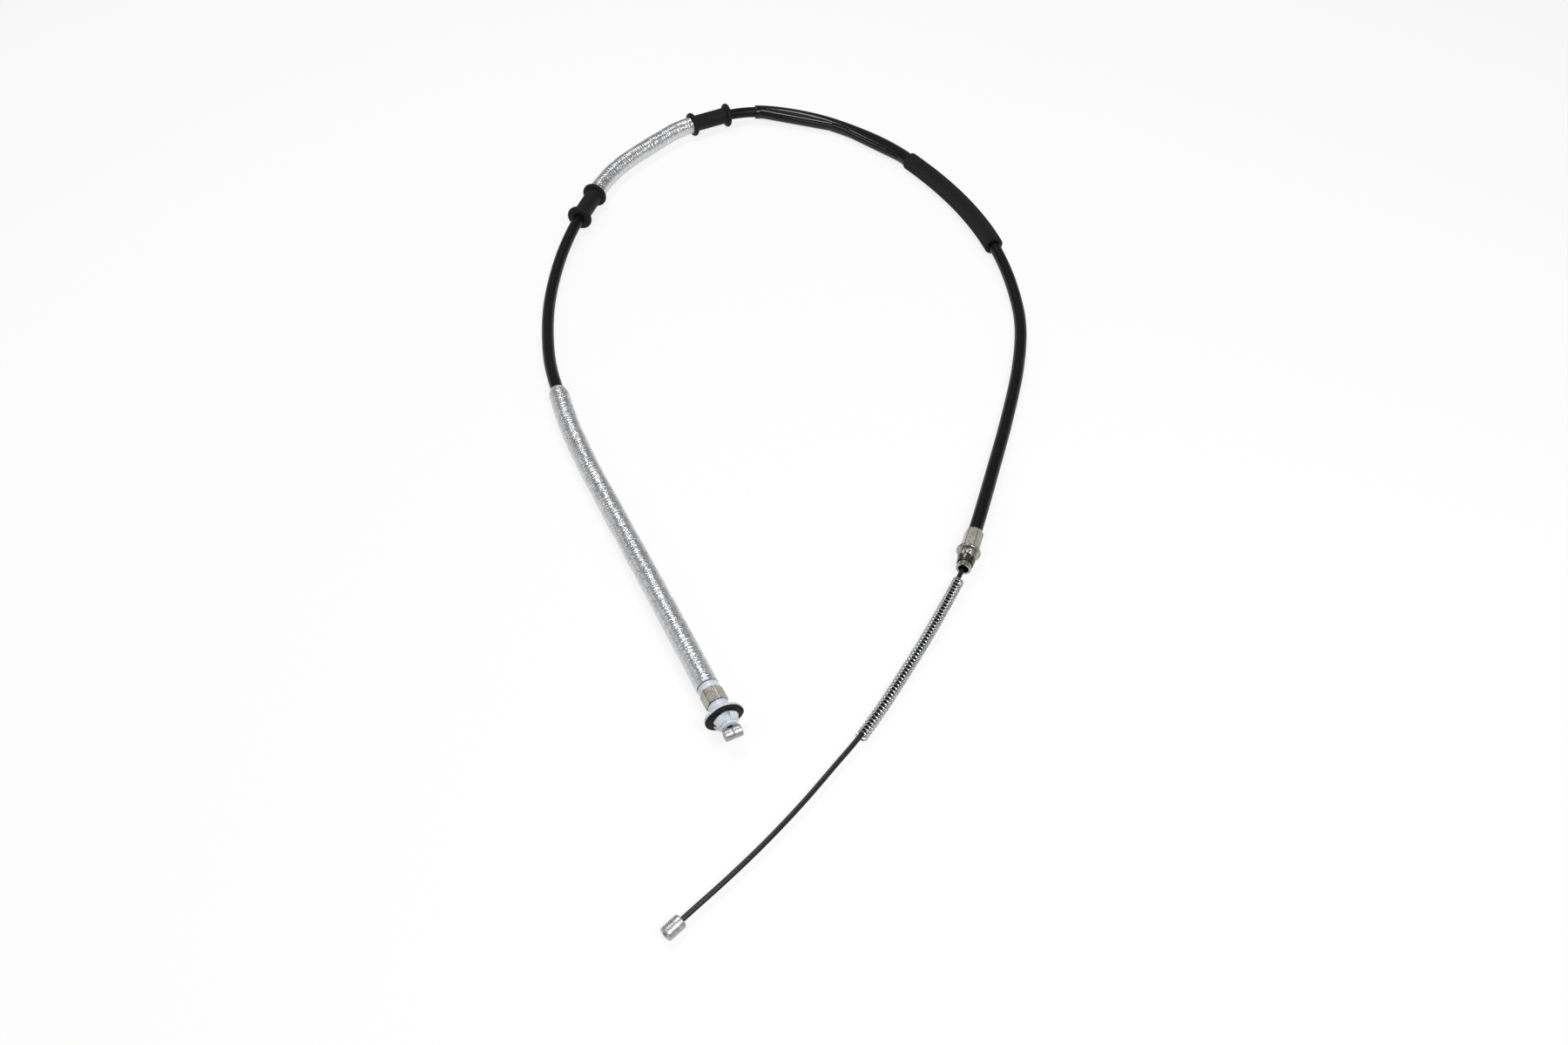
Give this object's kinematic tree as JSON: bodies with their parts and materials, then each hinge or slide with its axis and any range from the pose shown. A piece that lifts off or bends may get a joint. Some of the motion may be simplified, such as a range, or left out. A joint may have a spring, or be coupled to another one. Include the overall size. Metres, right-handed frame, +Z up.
{
  "type": "brake cable",
  "caption": "Sheathed hand brake cable with heat sleeves, grommets, crimped end fittings and a return spring, sliding inner wire, laid in one wide bend.",
  "frame": {"origin": "middle of the footprint of the cable as it lies, at the surface it lies on", "axes": "+Z up from the surface, +Y towards the middle of the bend, the long way of the footprint, +X towards the rear run of the casing"},
  "size_m": [0.3686, 0.7887, 0.0204],
  "materials": {
    "jacket": "satin black extruded plastic",
    "armour": "wound steel strip",
    "liner": "natural low-friction plastic",
    "wire": "black nylon coat over steel strand",
    "heat_sleeve": "crinkled aluminium foil over fibre",
    "rubber": "matt black moulded rubber",
    "gloss": "glossy black shrunk plastic",
    "nylon": "natural white moulded nylon",
    "plated": "bright zinc plated steel",
    "spring": "bright drawn spring wire",
    "zinc": "die-cast zinc"
  },
  "bodies": {
    "casing": {"casing_jacket": "jacket", "casing_armour": "armour", "casing_liner": "liner", "inner_wire": "wire", "front_mounting_body": "nylon", "front_gasket": "rubber", "front_crimp_ferrule": "plated", "seal_ring": "nylon", "heat_sleeve_long": "heat_sleeve", "heat_sleeve_short": "heat_sleeve", "grommet_first": "rubber", "grommet_second": "rubber", "gloss_sleeve": "gloss", "ribbed_sleeve": "rubber", "rear_ferrule": "plated", "rear_retaining_clip": "spring", "return_spring": "spring"},
    "front_end": {"front_nipple": "zinc", "inner_wire_front": "wire"},
    "rear_end": {"rear_nipple": "zinc", "inner_wire_rear": "wire"}
  },
  "joints": [
    {"name": "rear_pull", "type": "slide", "parent": "casing", "child": "rear_end", "axis": [0.7041, 0.7101, 0], "range_m": [0, 0.025], "deforming": ["inner_wire_rear"]},
    {"name": "front_pull", "type": "slide", "parent": "casing", "child": "front_end", "axis": [0.4428, -0.8966, 0], "range_m": [0, 0.025]}
  ],
  "couplings": [
    {"joint": "front_pull", "follows": "rear_pull", "ratio": 1}
  ]
}
